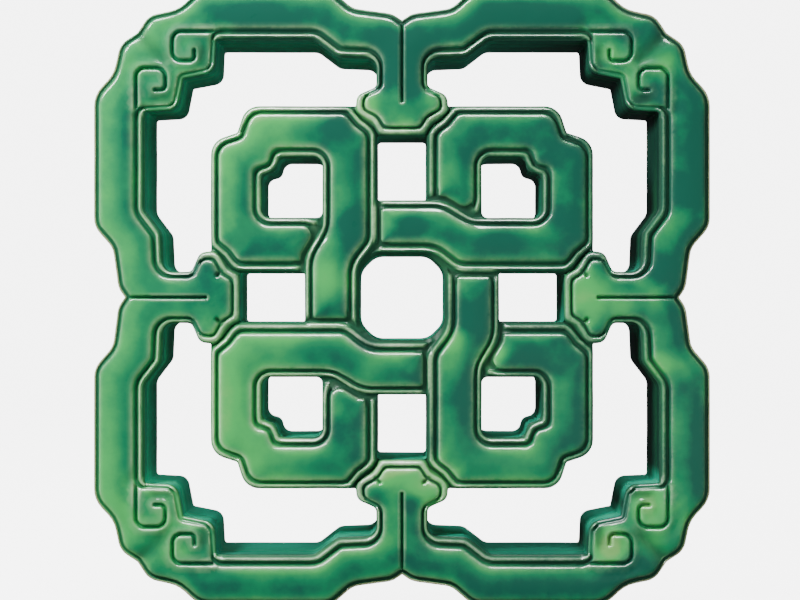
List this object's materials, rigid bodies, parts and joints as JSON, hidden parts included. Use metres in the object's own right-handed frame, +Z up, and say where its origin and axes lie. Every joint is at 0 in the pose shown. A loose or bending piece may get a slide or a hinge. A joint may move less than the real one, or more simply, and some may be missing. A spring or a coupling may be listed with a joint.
{
  "type": "breeze block tile",
  "caption": "Square openwork breeze block of glazed ceramic: a lobed frame of bracket-shaped bars holds an endless knot by cloud-shaped heads.",
  "frame": {"origin": "middle of the underside of the box round the tile, which stands on its lower edge", "axes": "+X to the right as the face is seen, +Y from the face to the back, +Z up"},
  "size_m": [0.3, 0.05, 0.3],
  "materials": {
    "green_glaze": "glossy transparent green glaze over buff clay, darker in the grooves and cream where it runs thin on the beads"
  },
  "bodies": {
    "root": {"breeze_block": "green_glaze"}
  },
  "joints": []
}
